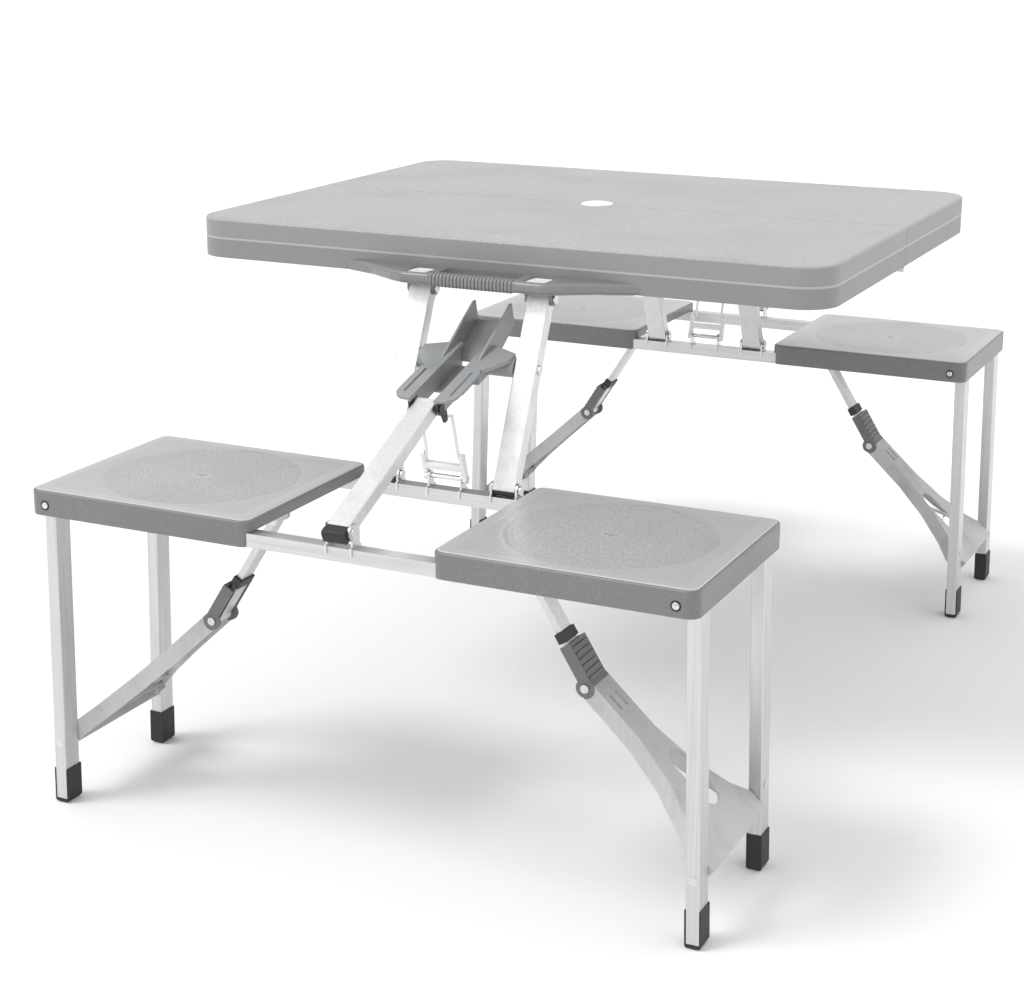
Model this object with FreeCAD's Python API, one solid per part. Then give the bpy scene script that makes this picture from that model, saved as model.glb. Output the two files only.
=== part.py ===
import FreeCAD
import Part

import math
import os

# Folding picnic table with four seats. Millimetres, X along the table, Y across it, Z up.
# The origin is on the floor under the middle of the table.
# The side at negative Y is modelled and the other side is its mirror image.

# table top
tableLength = 850.0
tableWidth = 670.0
tableHeight = 676.0
tableDepth = 50.0
topThick = 5.0
wallThick = 4.0
partingDown = 25.0
cornerRadius = 45.0
edgeRound = 3.0
seamGap = 1.0
flangeWidth = 12.0
flangeThick = 3.0
ribThick = 2.5

# umbrella hole and its cap
holeRadius = 17.5
capRadius = 22.0
capThick = 5.0
capPlugDepth = 12.0
capSeat = 1.0
capClear = 0.4
plugClear = 0.4

# handle on each long edge
handleReach = 50.0
handleHalf = 199.0
handleThick = 14.0
handleDrop = 1.0
gripDepth = 17.0
gripHalf = 52.0
handleRound = 5.0
rimOff = 2.0

# supports between the handle and the inner rail
supportWide = 29.0
supportThick = 17.0
supportX = 79.0
supportTopY = 352.0
supportTopDrop = 9.0
supportFootRise = 9.0
pivotAlong = 145.0
capLength = 12.0
tubeWall = 1.6
pinRadius = 4.0
pinClear = 0.05
earThick = 2.5
earGap = 0.5

# seat frame and seats
seatTop = 409.0
seatSkirt = 30.0
seatInnerX = 114.0
seatOuterX = 415.0
seatInnerY = 433.0
seatOuterY = 706.0
seatCorner = 14.0
seatWall = 3.5
seatSkin = 4.0
railTall = 16.0
railDepth = 18.0
railGap = 0.5
screwRadius = 4.0
screwInset = 23.0
screwProud = 1.5
dimpleDepth = 1.0

# legs
legThick = 16.0
legDeep = 27.0
legWall = 1.5
legInset = 12.0
legSplay = 1.5
legPinRadius = 3.0
footTall = 45.0
footGrow = 1.25
footRound = 5.0
footFloor = 6.0
rivetProud = 0.4

# leg brace: a bar from the seat to the knee and a forked plate from the knee to the legs
braceTopX = 159.0
braceTopDrop = 7.0
kneeX = 245.0
kneeZ = 234.0
plateFootZ = 80.0
barWide = 24.0
barThick = 8.0
bracePinRadius = 3.0
plateNeck = 21.0
plateSkin = 3.0
plateOff = 8.0
plateRib = 3.0
legSideClear = 0.5
gripLength = 52.0

# diagonal tube and the casting between the supports
tubeFootY = 700.0
tubeFootRise = 19.0
tubeKneeY = 496.0
tubeKneeZ = 506.0
tubeWide = 28.0
tubeThick = 16.0
tubeBeyond = 6.0
tubePlug = 14.0
castClear = 1.5
castWall = 3.0
castLow = 12.0
castLowNear = 8.0
castHigh = 12.0
castFlange = 40.0
castFlangeLong = 80.0
castFloorFrom = 55.0
castTopY = 314.0
castTopZ = 574.0
castTopHalf = 23.0
finRise = 26.0

# toggle between the inner rail and the casting
leverHigh = 37.0
leverLean = 10.0
leverHalf = 28.0
leverArm = 4.7
leverThick = 8.0
toggleRise = 14.0
bailHalf = 21.0
bailWire = 2.0
bailTopY = 472.0
bailTopZ = 492.0

# seam hinges
hingeRadius = 4.0
hingePin = 2.0
hingeLeaf = 2.5
hingeLeafWide = 28.0
hingeInner = 362.0
hingeOuter = 422.0
knuckleGap = 0.3

# places that follow from the sizes
rimBottom = tableHeight - tableDepth
parting = tableHeight - partingDown
edgeY = tableWidth / 2
edgeX = tableLength / 2
handleBottom = rimBottom - handleDrop
topPivotZ = handleBottom - supportTopDrop
seatBottom = seatTop - seatSkirt
railBottom = seatBottom
railTop = railBottom + railTall
innerRailY = seatInnerY + seatWall + railGap + railDepth / 2
outerRailY = seatOuterY - seatWall - railGap - railDepth / 2
footPivotY = innerRailY
footPivotZ = railTop + supportFootRise
legPivotX = seatOuterX - legInset
legPivotZ = railBottom + railTall / 2
innerLegY = innerRailY + railDepth / 2 + railGap + legDeep / 2
outerLegY = outerRailY - railDepth / 2 - railGap - legDeep / 2
braceY = (innerLegY + outerLegY) / 2
braceTopZ = seatBottom - braceTopDrop
togglePivotZ = railTop + toggleRise
tubeFootZ = railTop + tubeFootRise

# the supports' length and lean
supportRun = footPivotY - supportTopY
supportRise = topPivotZ - footPivotZ
supportLength = math.hypot(supportRun, supportRise)
supportLean = math.degrees(math.atan2(supportRun, supportRise))

# the casting's pivot, on the supports' centre line
castPivotY = footPivotY - pivotAlong * supportRun / supportLength
castPivotZ = footPivotZ + pivotAlong * supportRise / supportLength

# the leg's length from its pivot, so that the rounded foot just meets the floor
legTilt = math.radians(legSplay)
footHalf = legThick / 2 + footGrow
footSide = (footHalf - footRound) * math.sin(legTilt)
legReach = (legPivotZ - footRound - footSide) / math.cos(legTilt) + footRound
plateFootX = legPivotX + (legPivotZ - plateFootZ) * math.tan(legTilt)

xAxis = FreeCAD.Vector(1, 0, 0)
yAxis = FreeCAD.Vector(0, 1, 0)
zAxis = FreeCAD.Vector(0, 0, 1)


def vec(x, y, z):
    return FreeCAD.Vector(x, y, z)


def box(x0, x1, y0, y1, z0, z1):
    size = (abs(x1 - x0), abs(y1 - y0), abs(z1 - z0))
    return Part.makeBox(*size, vec(min(x0, x1), min(y0, y1), min(z0, z1)))


def rod(start, end, radius):
    line = end - start
    return Part.makeCylinder(radius, line.Length, start, line)


def rodX(x0, x1, y, z, radius):
    return rod(vec(x0, y, z), vec(x1, y, z), radius)


def rodY(y0, y1, x, z, radius):
    return rod(vec(x, y0, z), vec(x, y1, z), radius)


def prism(points, direction):
    wire = Part.makePolygon(points + [points[0]])
    return Part.Face(wire).extrude(direction)


def turned(shape, centre, axis, degrees):
    copy = shape.copy()
    copy.rotate(centre, axis, degrees)
    return copy


def mirrorX(shape):
    return shape.mirror(vec(0, 0, 0), xAxis)


def mirrorY(shape):
    return shape.mirror(vec(0, 0, 0), yAxis)


def both(shape):
    return [shape, mirrorX(shape)]


def fused(first, *others):
    result = first
    for shape in others:
        result = result.fuse(shape)
    return result.removeSplitter()


def rounded(shape, radius, chosen):
    edges = [edge for edge in shape.Edges if chosen(edge)]
    return shape.makeFillet(radius, edges)


def upright(edge):
    box = edge.BoundBox
    return box.ZLength > 1 and box.XLength < 0.01 and box.YLength < 0.01


def slab(x0, x1, y0, y1, z0, z1, radius, outer=None):
    # a plate with its upright edges rounded, all of them or those that lie beyond outer in -Y
    plate = box(x0, x1, y0, y1, z0, z1)
    if radius < 0.05:
        return plate
    return rounded(plate, radius, lambda e: upright(e) and (outer is None or e.BoundBox.YMax < outer))


def tubeBar(along0, along1, wide, thick, wall):
    # a hollow bar along Z, wide in X and thick in Y
    outside = box(-wide / 2, wide / 2, -thick / 2, thick / 2, along0, along1)
    corners = rounded(outside, wall, upright)
    inside = box(wall - wide / 2, wide / 2 - wall, wall - thick / 2, thick / 2 - wall, along0, along1)
    return corners.cut(inside)


def inSide(shape, y, z, degrees):
    # moves a piece drawn along Z at the origin to a pivot on the -Y side, leaning towards +Y going up
    shape = turned(shape, vec(0, 0, 0), xAxis, -degrees)
    shape.translate(vec(0, -y, z))
    return shape


# ---- the table's two halves

def halfBlock(z0, z1, inset):
    radius = cornerRadius - inset
    x = edgeX - inset
    seam = -seamGap / 2 - (inset if inset else 0)
    return slab(-x, x, inset - edgeY, seam, z0, z1, radius, inset - edgeY + 1)


def topShell():
    outside = halfBlock(parting, tableHeight, 0)

    def crown(edge):
        low = edge.BoundBox.ZMin > tableHeight - 0.01
        return low and edge.BoundBox.YMin < -seamGap

    outside = rounded(outside, edgeRound, crown)
    shell = outside.cut(halfBlock(parting, tableHeight - topThick, wallThick))
    low = parting + wallThick
    high = tableHeight - topThick
    for x in (-0.62 * edgeX, -0.3 * edgeX, 0.3 * edgeX, 0.62 * edgeX):
        rib = box(x - ribThick / 2, x + ribThick / 2, wallThick - edgeY, -seamGap / 2 - wallThick, low, high)
        shell = shell.fuse(rib)
    for y in (-0.68 * edgeY, -0.22 * edgeY):
        rib = box(wallThick - edgeX, edgeX - wallThick, y - ribThick / 2, y + ribThick / 2, low, high)
        shell = shell.fuse(rib)
    boss = Part.makeCylinder(holeRadius + wallThick, high - low, vec(0, 0, low))
    boss = boss.common(box(-edgeX, edgeX, -edgeY, -seamGap / 2, low, high))
    shell = shell.fuse(boss)
    hole = Part.makeCylinder(holeRadius, tableDepth, vec(0, 0, rimBottom))
    seat = Part.makeCylinder(capRadius + capClear, capSeat + 1, vec(0, 0, tableHeight - capSeat))
    return shell.cut(hole).cut(seat).removeSplitter()


def rimFrame():
    frame = halfBlock(rimBottom, parting, 0)
    frame = frame.cut(halfBlock(rimBottom, parting, wallThick))
    lip = halfBlock(rimBottom, rimBottom + flangeThick, wallThick / 2)
    lip = lip.cut(halfBlock(rimBottom, rimBottom + flangeThick, flangeWidth))
    hole = Part.makeCylinder(holeRadius, tableDepth, vec(0, 0, rimBottom))
    return fused(frame, lip).cut(hole)


def holeCap():
    # the disc lies in a shallow seat cut round the hole
    low = tableHeight - capSeat
    disc = Part.makeCylinder(capRadius, capThick, vec(0, 0, low))
    disc = rounded(disc, 1.5, lambda e: e.BoundBox.ZMin > low + capThick - 0.01)
    plug = Part.makeCylinder(holeRadius - plugClear, capPlugDepth, vec(0, 0, low - capPlugDepth))
    hollow = Part.makeCylinder(holeRadius - plugClear - 3, capPlugDepth, vec(0, 0, low - capPlugDepth))
    dish = Part.makeCylinder(capRadius - 5, 1, vec(0, 0, low + capThick - 1))
    return fused(disc, plug.cut(hollow)).cut(dish)


def supportEar(x0, x1, y, z, reach, upward):
    # a flat ear round a pivot, with a straight root that reaches up or down from it
    radius = supportThick / 2
    ear = rodX(x0, x1, -y, z, radius)
    root = box(x0, x1, -y - radius, -y + radius, z, z + (reach if upward else -reach))
    return fused(ear, root)


def supportEarSpans():
    half = supportWide / 2 + earGap
    return (
        (supportX - half - earThick, supportX - half),
        (supportX + half, supportX + half + earThick),
    )


def handle():
    low = handleBottom
    high = low + handleThick
    crest = edgeY + handleReach
    windowIn = supportX - supportWide / 2 - earGap
    windowOut = supportX + supportWide / 2 + earGap
    shoulder = windowOut + 10
    points = [
        (-handleHalf, edgeY),
        (-(handleHalf + shoulder) / 2, edgeY + 0.35 * handleReach),
        (-shoulder - 8, crest - 8),
        (-shoulder + 10, crest),
    ]
    outline = [vec(x, -y, low) for x, y in points]
    outline = outline + [vec(-x, -y, low) for x, y in reversed(points)]
    plate = prism(outline, vec(0, 0, high - low))
    bends = lambda e: upright(e) and e.BoundBox.YMax < -edgeY - 1
    plate = rounded(plate, 12, bends)
    plate = rounded(plate, handleRound, lambda e: e.BoundBox.ZMin > high - 0.01 and e.BoundBox.YMin < -edgeY - 1)
    plate = rounded(plate, handleRound, lambda e: e.BoundBox.ZMax < low + 0.01 and e.BoundBox.YMin < -edgeY - 1)
    for sign in (-1, 1):
        window = slab(windowIn, windowOut, -crest + 8, -edgeY - 6, low, high, 3)
        plate = plate.cut(window if sign > 0 else mirrorX(window))
    hand = slab(-gripHalf, gripHalf, gripDepth - crest, -edgeY - rimOff, low, high, 5)
    plate = plate.cut(hand)
    for index in range(-4, 5):
        x = index * gripHalf / 5
        groove = rodY(-crest - 1, gripDepth - crest + 1, x, high + 0.4, 1.2)
        plate = plate.cut(groove)
    for x0, x1 in supportEarSpans():
        ear = supportEar(x0, x1, supportTopY, topPivotZ, supportTopDrop + 1, True)
        ear = ear.cut(rodX(x0 - 1, x1 + 1, -supportTopY, topPivotZ, pinRadius + pinClear))
        plate = fused(plate, ear, mirrorX(ear))
    return plate


def seamHinge(front):
    # two knuckle hinges under the seam; the pins belong to the front half
    z = rimBottom - hingeRadius
    third = (hingeOuter - hingeInner) / 3
    pieces = []
    leaf = box(hingeInner, hingeOuter, -hingeLeafWide, -seamGap / 2, rimBottom - hingeLeaf, rimBottom)
    if front:
        spans = ((hingeInner, hingeInner + third), (hingeOuter - third, hingeOuter))
    else:
        spans = ((hingeInner + third + knuckleGap, hingeOuter - third - knuckleGap),)
        leaf = mirrorY(leaf)
    leaf = leaf.cut(rodX(hingeInner - 1, hingeOuter + 1, 0, z, hingeRadius + knuckleGap))
    for x0, x1 in spans:
        knuckle = rodX(x0, x1, 0, z, hingeRadius)
        side = -1 if front else 1
        web = box(x0, x1, 0, side * (hingeRadius + 3), z, rimBottom)
        piece = knuckle.fuse(web.cut(rodX(x0, x1, 0, z, hingeRadius)))
        bore = hingePin if front else hingePin + pinClear
        pieces.append(piece.cut(rodX(x0 - 1, x1 + 1, 0, z, bore)))
    hinge = fused(leaf, *pieces)
    result = both(hinge)
    if front:
        pin = fused(
            rodX(hingeInner, hingeOuter, 0, z, hingePin),
            rodX(hingeOuter, hingeOuter + 1.5, 0, z, hingePin + 1.5),
        )
        result = result + both(pin)
    return result


# ---- supports

def supportTubes():
    tube = tubeBar(capLength, supportLength - capLength, supportWide, supportThick, tubeWall)
    hole = rodX(-supportWide, supportWide, 0, pivotAlong, pinRadius)
    tube = inSide(tube.cut(hole), footPivotY, footPivotZ, supportLean)
    tube.translate(vec(supportX, 0, 0))
    return both(tube)


def supportCaps():
    radius = supportThick / 2
    half = supportWide / 2
    cap = fused(rodX(-half, half, 0, 0, radius), box(-half, half, -radius, radius, 0, capLength))
    plug = box(
        tubeWall - half, half - tubeWall, tubeWall - radius, radius - tubeWall, capLength, capLength + 10
    )
    cap = fused(cap, plug).cut(rodX(-half - 1, half + 1, 0, 0, pinRadius))
    top = turned(cap, vec(0, 0, 0), xAxis, 180)
    top.translate(vec(0, 0, supportLength))
    result = []
    for piece in (cap, top):
        placed = inSide(piece, footPivotY, footPivotZ, supportLean)
        placed.translate(vec(supportX, 0, 0))
        result = result + both(placed)
    return result


def supportPins():
    # pins held in the supports that turn in the ears of the handle, the rail and the casting
    half = supportWide / 2 + earGap + earThick + 0.3
    result = []
    for y, z in ((supportTopY, topPivotZ), (footPivotY, footPivotZ)):
        pin = rodX(supportX - half, supportX + half, -y, z, pinRadius)
        head = rodX(supportX + half, supportX + half + 2, -y, z, pinRadius + 2)
        foot = rodX(supportX - half - 2, supportX - half, -y, z, pinRadius + 2)
        result = result + both(fused(pin, head, foot))
    inner = supportX - supportWide / 2 - 14
    outer = supportX + supportWide / 2
    rivet = rodX(inner, outer, -castPivotY, castPivotZ, pinRadius)
    head = rodX(outer, outer + 2, -castPivotY, castPivotZ, pinRadius + 2)
    result = result + both(fused(rivet, head))
    return result


# ---- seat frame

def rails():
    result = []
    for y in (innerRailY, outerRailY):
        long = seatOuterX - seatWall - railGap
        outside = box(-long, long, -y - railDepth / 2, -y + railDepth / 2, railBottom, railTop)
        inset = railDepth / 2 - legWall
        inside = box(-long, long, -y - inset, -y + inset, railBottom + legWall, railTop - legWall)
        rail = outside.cut(inside)
        rail = rail.cut(rodY(-y - railDepth, -y + railDepth, legPivotX, legPivotZ, legPinRadius))
        rail = rail.cut(rodY(-y - railDepth, -y + railDepth, -legPivotX, legPivotZ, legPinRadius))
        # the ends are rounded off to lie inside the seats' corners
        gap = seatWall + railGap / 2
        rail = rail.common(slab(
            gap - seatOuterX,
            seatOuterX - gap,
            gap - seatOuterY,
            -seatInnerY - gap,
            railBottom - 1,
            railTop + 1,
            seatCorner - gap,
        ))
        result.append(rail)
    return result


def seat():
    outside = slab(seatInnerX, seatOuterX, -seatOuterY, -seatInnerY, seatBottom, seatTop, seatCorner)
    outside = rounded(outside, edgeRound, lambda e: e.BoundBox.ZMin > seatTop - 0.01)
    inside = slab(
        seatInnerX + seatWall,
        seatOuterX - seatWall,
        seatWall - seatOuterY,
        -seatInnerY - seatWall,
        seatBottom,
        seatTop - seatSkin,
        seatCorner - seatWall,
    )
    shell = outside.cut(inside)
    middleX = (seatInnerX + seatOuterX) / 2
    middleY = -(seatInnerY + seatOuterY) / 2
    for x in (braceTopX + 35, seatOuterX - 70):
        rib = box(
            x - 1.5, x + 1.5, seatWall - seatOuterY, -seatInnerY - seatWall, railTop, seatTop - seatSkin
        )
        shell = shell.fuse(rib)
    # the end towards the table's middle is cut away below the rails' tops, where the legs fold in
    cut = box(
        seatInnerX - 1,
        seatInnerX + seatCorner,
        1 - seatOuterY + seatWall + railGap,
        -seatInnerY - seatWall - railGap + 1,
        seatBottom,
        railTop + 1,
    )
    cut = cut.cut(box(
        seatInnerX + seatWall + 2, seatInnerX + seatCorner + 1, -seatOuterY, -seatInnerY, seatBottom, railTop + 2
    ))
    shell = shell.cut(cut)
    railHole = box(
        seatInnerX - 1,
        seatInnerX + seatCorner,
        -innerRailY - railDepth / 2 - railGap,
        -innerRailY + railDepth / 2 + railGap,
        seatBottom,
        railTop + railGap,
    )
    shell = shell.cut(railHole)
    railHole.translate(vec(0, innerRailY - outerRailY, 0))
    shell = shell.cut(railHole)
    dimple = Part.makeCylinder(7, dimpleDepth, vec(middleX, middleY, seatTop - dimpleDepth))
    return shell.cut(dimple).removeSplitter()


def railEars(y, halfOuter, halfInner, pivotZ, radius, pin):
    # one upright ear that saddles a rail, drawn between two X stations
    ear = fused(
        rodX(halfInner, halfOuter, -y, pivotZ, radius),
        box(halfInner, halfOuter, -y - radius, -y + radius, railTop - 1, pivotZ),
        box(
            halfInner,
            halfOuter,
            -y - railDepth / 2 - 2,
            -y + railDepth / 2 + 2,
            railTop - 8,
            railTop + 2,
        ),
    )
    rail = box(halfInner - 1, halfOuter + 1, -y - railDepth / 2, -y + railDepth / 2, railBottom, railTop)
    ear = ear.cut(rail)
    if pin > 0:
        ear = ear.cut(rodX(halfInner - 1, halfOuter + 1, -y, pivotZ, pin))
    return ear


def brackets():
    result = []
    for x0, x1 in supportEarSpans():
        ear = railEars(innerRailY, x1, x0, footPivotZ, supportThick / 2, pinRadius + pinClear)
        result = result + both(ear)
    tubeHalf = tubeWide / 2 + earGap
    ear = railEars(outerRailY, tubeHalf + earThick, tubeHalf, tubeFootZ, 8, 0)
    ear = ear.fuse(rodX(tubeHalf, tubeHalf + earThick, -tubeFootY, tubeFootZ, 8))
    ear = ear.cut(rodX(tubeHalf - 1, tubeHalf + earThick + 1, -tubeFootY, tubeFootZ, legPinRadius))
    result = result + both(ear.removeSplitter())
    leverIn = leverHalf - leverArm - 0.5
    ear = railEars(innerRailY, leverIn, leverIn - earThick, togglePivotZ, 6, legPinRadius)
    result = result + both(ear)
    return result


def braceBracket():
    # a foot on the seat's underside with two ears for the bar's top pin
    under = seatTop - seatSkin
    half = barWide / 2 + earGap
    base = box(braceTopX - 10, braceTopX + 10, -braceY - half - 12, -braceY + half + 12, under - 2.5, under)
    result = base
    for sign in (-1, 1):
        y0 = -braceY + sign * half
        y1 = y0 + sign * earThick
        ear = fused(
            rodY(min(y0, y1), max(y0, y1), braceTopX, braceTopZ, 7),
            box(braceTopX - 7, braceTopX + 7, y0, y1, braceTopZ, under),
        )
        result = result.fuse(ear)
    bore = rodY(-braceY - half - 9, -braceY + half + 9, braceTopX, braceTopZ, bracePinRadius)
    return result.cut(bore).removeSplitter()


def framePins():
    result = []
    for sign, rail, leg in ((1, innerRailY, innerLegY), (-1, outerRailY, outerLegY)):
        start = -rail
        end = -leg - sign * (legDeep / 2 + 1)
        pin = rodY(min(start, end), max(start, end), legPivotX, legPivotZ, legPinRadius)
        last = end - sign * 1.5
        head = rodY(min(end, last), max(end, last), legPivotX, legPivotZ, legPinRadius + 2)
        result = result + both(fused(pin, head))
    tubeHalf = tubeWide / 2 + earGap + earThick
    pin = rodX(-tubeHalf, tubeHalf, -tubeFootY, tubeFootZ, legPinRadius)
    for sign in (-1, 1):
        head = rodX(sign * tubeHalf, sign * (tubeHalf + 2), -tubeFootY, tubeFootZ, legPinRadius + 2)
        pin = pin.fuse(head)
    result.append(pin.removeSplitter())
    pin = rodX(-leverHalf - 1, leverHalf + 1, -innerRailY, togglePivotZ, legPinRadius)
    result.append(pin)
    half = barWide / 2 + earGap + earThick
    pin = rodY(-braceY - half, -braceY + half, braceTopX, braceTopZ, bracePinRadius)
    for sign in (-1, 1):
        y0 = -braceY + sign * half
        pin = pin.fuse(rodY(min(y0, y0 + sign * 1.5), max(y0, y0 + sign * 1.5), braceTopX, braceTopZ, 5))
    result = result + both(pin.removeSplitter())
    return result


def seatScrews():
    result = []
    z = seatBottom + seatSkirt * 0.42
    flat = seatOuterX - screwInset
    for y, way in ((seatOuterY, -1), (seatInnerY, 1)):
        head = rodY(
            min(-y, -y + way * screwProud), max(-y, -y + way * screwProud), flat, z, screwRadius
        )
        result = result + both(head)
    return result


# ---- legs

def legPose(shape, y):
    shape = turned(shape, vec(0, 0, 0), yAxis, -legSplay)
    shape.translate(vec(legPivotX, -y, legPivotZ))
    return shape


def legTubes():
    result = []
    radius = legThick / 2
    for y in (innerLegY, outerLegY):
        low = footFloor - legReach
        tube = tubeBar(low, -radius, legThick, legDeep, legWall)
        head = fused(
            rodY(-legDeep / 2, legDeep / 2, 0, 0, radius),
            box(-radius, radius, -legDeep / 2, legDeep / 2, -radius, 0),
        )
        leg = fused(tube, head).cut(rodY(-legDeep, legDeep, 0, 0, legPinRadius + pinClear))
        result.append(legPose(leg, y))
    return result


def footCaps():
    result = []
    half = legThick / 2 + footGrow
    deep = legDeep / 2 + footGrow
    for y, side in ((innerLegY, 1), (outerLegY, -1)):
        cap = box(-half, half, -deep, deep, -legReach, footTall - legReach)
        # the cap is no deeper than the leg where it would pass a rail as the leg folds
        cap = rounded(cap, footRound, lambda e: e.BoundBox.ZMax < 0.01 - legReach)
        trim = box(-half, half, side * legDeep / 2, side * (deep + 1), -legReach - 1, footTall - legReach + 1)
        pocket = box(
            -legThick / 2, legThick / 2, -legDeep / 2, legDeep / 2, footFloor - legReach, footTall - legReach
        )
        result.append(legPose(cap.cut(trim).cut(pocket), y))
    return result


def legRivets():
    # the plate's pivots at the legs: a domed head outside, flush on the inside
    result = []
    drop = (legPivotZ - plateFootZ) / math.cos(legTilt)
    for y, sign in ((innerLegY, 1), (outerLegY, -1)):
        start = sign * legDeep / 2
        end = start + sign * rivetProud
        if sign < 0:
            head = rodY(min(start, end), max(start, end), 0, -drop, 5.5)
            result.append(legPose(head, y))
    face = rodX(legThick / 2, legThick / 2 + 1.2, 0, -drop + 24, 5)
    result.append(legPose(face, innerLegY))
    return result


def braceBar():
    run = kneeX - braceTopX
    fall = braceTopZ - kneeZ
    length = math.hypot(run, fall)
    angle = math.degrees(math.atan2(run, fall))
    end = barThick / 2 + 2
    bar = box(-barThick / 2, barThick / 2, -barWide / 2, barWide / 2, -length, 0)
    for z in (0, -length):
        bar = bar.fuse(rodY(-barWide / 2, barWide / 2, 0, z, end))
    bar = bar.cut(rodY(-barWide, barWide, 0, 0, bracePinRadius + pinClear))
    bar = bar.cut(rodY(-barWide, barWide, 0, -length, bracePinRadius))
    collar = box(-6, 6, -15, 15, -length + gripLength + 3, -length + gripLength + 15)
    bar = fused(bar, collar)
    reach = plateNeck + 0.4
    pin = rodY(-reach, reach, 0, -length, bracePinRadius)
    for sign in (-1, 1):
        y0 = sign * reach
        y1 = y0 + sign * 1.5
        pin = pin.fuse(rodY(min(y0, y1), max(y0, y1), 0, -length, bracePinRadius + 2))
    placed = []
    for shape in (bar, pin.removeSplitter()):
        shape = turned(shape, vec(0, 0, 0), yAxis, -angle)
        shape.translate(vec(braceTopX, -braceY, braceTopZ))
        placed.append(shape)
    return placed


def plateOutline(length, half):
    return [
        (-8.0, plateNeck),
        (0.36 * length, plateNeck + 1),
        (0.6 * length, plateNeck + 14),
        (0.82 * length, 0.72 * half),
        (0.93 * length, half),
        (length + 9.0, half),
    ]


def plateTray(length, half, shrink, low, high):
    points = plateOutline(length, half)
    loop = [vec(s, w, low) for s, w in points] + [vec(s, -w, low) for s, w in reversed(points)]
    wire = Part.makePolygon(loop + [loop[0]])
    if shrink:
        wire = wire.makeOffset2D(-shrink, 2, False, False, False)
    return Part.Face(wire).extrude(vec(0, 0, high - low))


def bracePlate():
    # drawn with the knee at the origin, the legs' end along X and the outer face towards Z
    run = plateFootX - kneeX
    fall = kneeZ - plateFootZ
    length = math.hypot(run, fall)
    slope = math.degrees(math.atan2(fall, run))
    half = (outerLegY - innerLegY) / 2 - legDeep / 2 - legSideClear
    top = plateOff + plateSkin
    low = -plateOff - 1
    tray = plateTray(length, half, 0, low, top)
    tray = tray.cut(plateTray(length, half, plateRib, low, plateOff))
    inner = plateNeck - plateRib
    tray = tray.cut(box(-20, 8, -inner, inner, low - 1, plateOff))
    tray = tray.cut(box(-20, -2, -plateNeck - 1, plateNeck + 1, low - 1, top + 1))
    # an oval hole with a diagonal rib, and two slots by the knee
    hole = slab(0.5 * length, 0.84 * length, -18, 18, plateOff - 1, top + 1, 17)
    hole.translate(vec(0, 14, 0))
    rib = box(-2, 2, -40, 40, plateOff, top)
    rib = turned(rib, vec(0, 0, 0), zAxis, 40)
    rib.translate(vec(0.67 * length, 14, 0))
    tray = tray.cut(hole.cut(rib))
    for side in (-1, 1):
        slot = slab(22, 44, side * 8 - 3, side * 8 + 3, plateOff - 1, top + 1, 2.5)
        tray = tray.cut(slot)
    # stiffening ribs across the hollow, clear of the folded bar
    free = box(-10, length - 30, -18, 18, low - 1, plateOff)
    hollow = plateTray(length, half, plateRib / 2, low, plateOff)
    for s in (0.72 * length, 0.88 * length):
        rib = box(s - 1.2, s + 1.2, -half, half, low + 4, plateOff + 1)
        tray = tray.fuse(rib.common(hollow).cut(free))
    # round bosses at the legs
    for side in (-1, 1):
        boss = rodY(min(side * (half - 10), side * half), max(side * (half - 10), side * half), length, 0, 8)
        tray = tray.fuse(boss)
    # the knee's cheeks
    for side in (-1, 1):
        y0 = side * inner
        y1 = side * plateNeck
        tray = tray.fuse(rodY(min(y0, y1), max(y0, y1), 0, 0, top))
    tray = turned(tray, vec(0, 0, 0), yAxis, slope)
    # the ribbed grip lies over the bar
    barRun = kneeX - braceTopX
    barFall = braceTopZ - kneeZ
    lean = math.degrees(math.atan2(barRun, barFall))
    grip = box(6.5, 10, -plateNeck, plateNeck, 0, gripLength)
    for side in (-1, 1):
        grip = grip.fuse(box(-4, 10, side * inner, side * plateNeck, 0, gripLength))
    for index in range(6):
        z = 8 + index * (gripLength - 14) / 5
        grip = grip.fuse(rodY(-plateNeck + 3, plateNeck - 3, 10, z, 1.5))
    grip = turned(grip, vec(0, 0, 0), yAxis, -lean)
    plate = fused(tray, grip)
    plate = plate.cut(rodY(-plateNeck - 20, plateNeck + 20, 0, 0, bracePinRadius + pinClear))
    plate.translate(vec(kneeX, -braceY, kneeZ))
    return plate


# ---- diagonal tube and casting

tubeRun = tubeFootY - tubeKneeY
tubeRise = tubeKneeZ - tubeFootZ
tubeLong = math.hypot(tubeRun, tubeRise)
tubeLean = math.degrees(math.atan2(tubeRun, tubeRise))


def diagonalTube():
    tube = tubeBar(0, tubeLong + tubeBeyond, tubeWide, tubeThick, tubeWall)
    tube = tube.cut(rodX(-tubeWide, tubeWide, 0, 0, legPinRadius + pinClear))
    return inSide(tube, tubeFootY, tubeFootZ, tubeLean)


def tubePlugs():
    half = tubeWide / 2
    thick = tubeThick / 2
    low = box(-half, half, -thick, thick, -tubePlug, 0)
    low = rounded(low, 4, lambda e: e.BoundBox.ZMax < 0.01 - tubePlug and e.BoundBox.XLength > 5)
    inner = box(tubeWall - half, half - tubeWall, tubeWall - thick, thick - tubeWall, 0, 12)
    low = fused(low, inner).cut(rodX(-tubeWide, tubeWide, 0, 0, legPinRadius + pinClear))
    high = box(
        tubeWall - half,
        half - tubeWall,
        tubeWall - thick,
        thick - tubeWall,
        tubeLong + tubeBeyond - 10,
        tubeLong + tubeBeyond,
    )
    return [inSide(piece, tubeFootY, tubeFootZ, tubeLean) for piece in (low, high)]


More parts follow.
